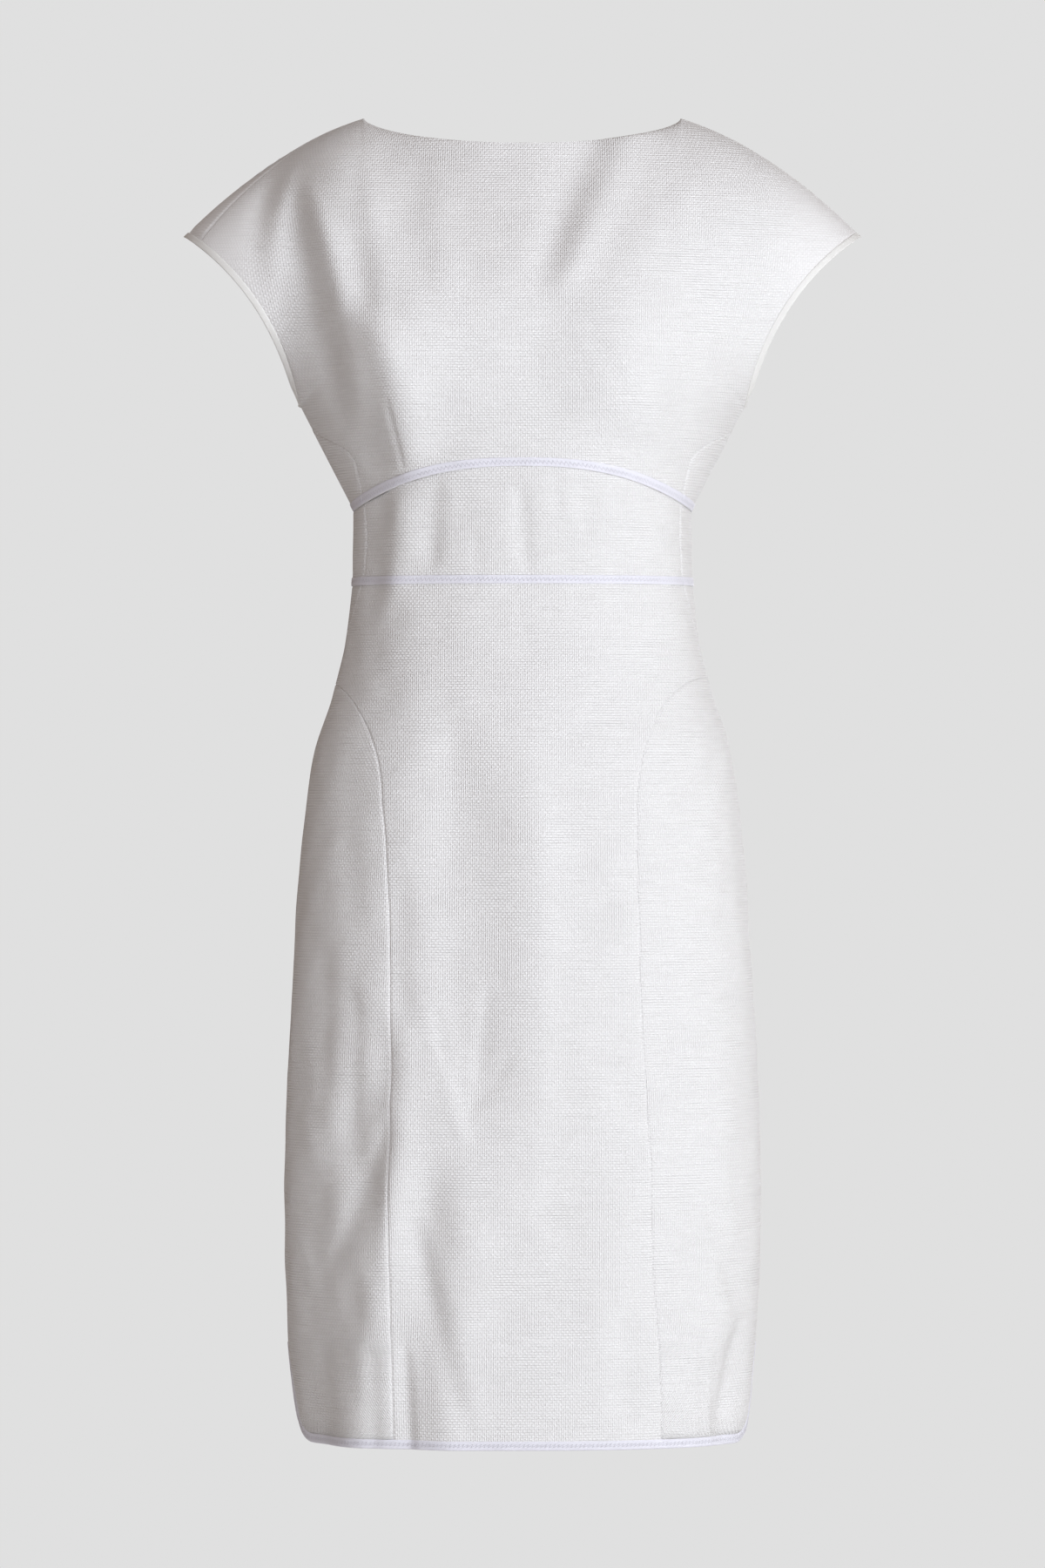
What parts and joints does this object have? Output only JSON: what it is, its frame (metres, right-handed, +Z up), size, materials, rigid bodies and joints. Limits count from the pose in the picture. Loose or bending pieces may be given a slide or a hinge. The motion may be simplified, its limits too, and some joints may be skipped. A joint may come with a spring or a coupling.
{
  "type": "sheath dress",
  "caption": "Knee-length woven sheath dress in its worn, hollow form, with a boat neck, cap sleeves, midriff band, curved hip seams and bound side slits.",
  "frame": {"origin": "midway between the two neck points, where the shoulder seams meet the neckline; the wearer's shoulders carry the dress there", "axes": "+Z up along the standing wearer, the front faces -Y, +X towards the wearer's left"},
  "size_m": [0.5094, 0.25, 0.9901],
  "materials": {
    "cloth": "matte off-white basket weave with fine slubs",
    "tape": "smooth cool-white tape, edge stitched",
    "zip_tape": "matte woven zip tape",
    "zip_metal": "off-white lacquered metal"
  },
  "bodies": {
    "dress": {"front_bodice": "cloth", "back_bodice_left": "cloth", "back_bodice_right": "cloth", "midriff_front": "cloth", "midriff_back_left": "cloth", "midriff_back_right": "cloth", "skirt_front": "cloth", "skirt_side_left": "cloth", "skirt_side_right": "cloth", "skirt_back_left": "cloth", "skirt_back_right": "cloth", "sleeve_band_left": "cloth", "sleeve_band_right": "cloth", "bust_tape_front": "tape", "bust_tape_back_left": "tape", "bust_tape_back_right": "tape", "waist_tape_front": "tape", "waist_tape_back_left": "tape", "waist_tape_back_right": "tape", "hem_binding_front": "tape", "hem_binding_back": "tape", "zip_chain": "zip_tape", "zip_slider": "zip_metal"},
    "pull_tab": {"zip_pull": "zip_metal"}
  },
  "joints": [
    {"name": "pull_tab_swing", "type": "hinge", "parent": "dress", "child": "pull_tab", "pos_m": [0, 0.06367, -0.03218], "axis": [1, 0, 0], "range_deg": [0, 150]}
  ]
}
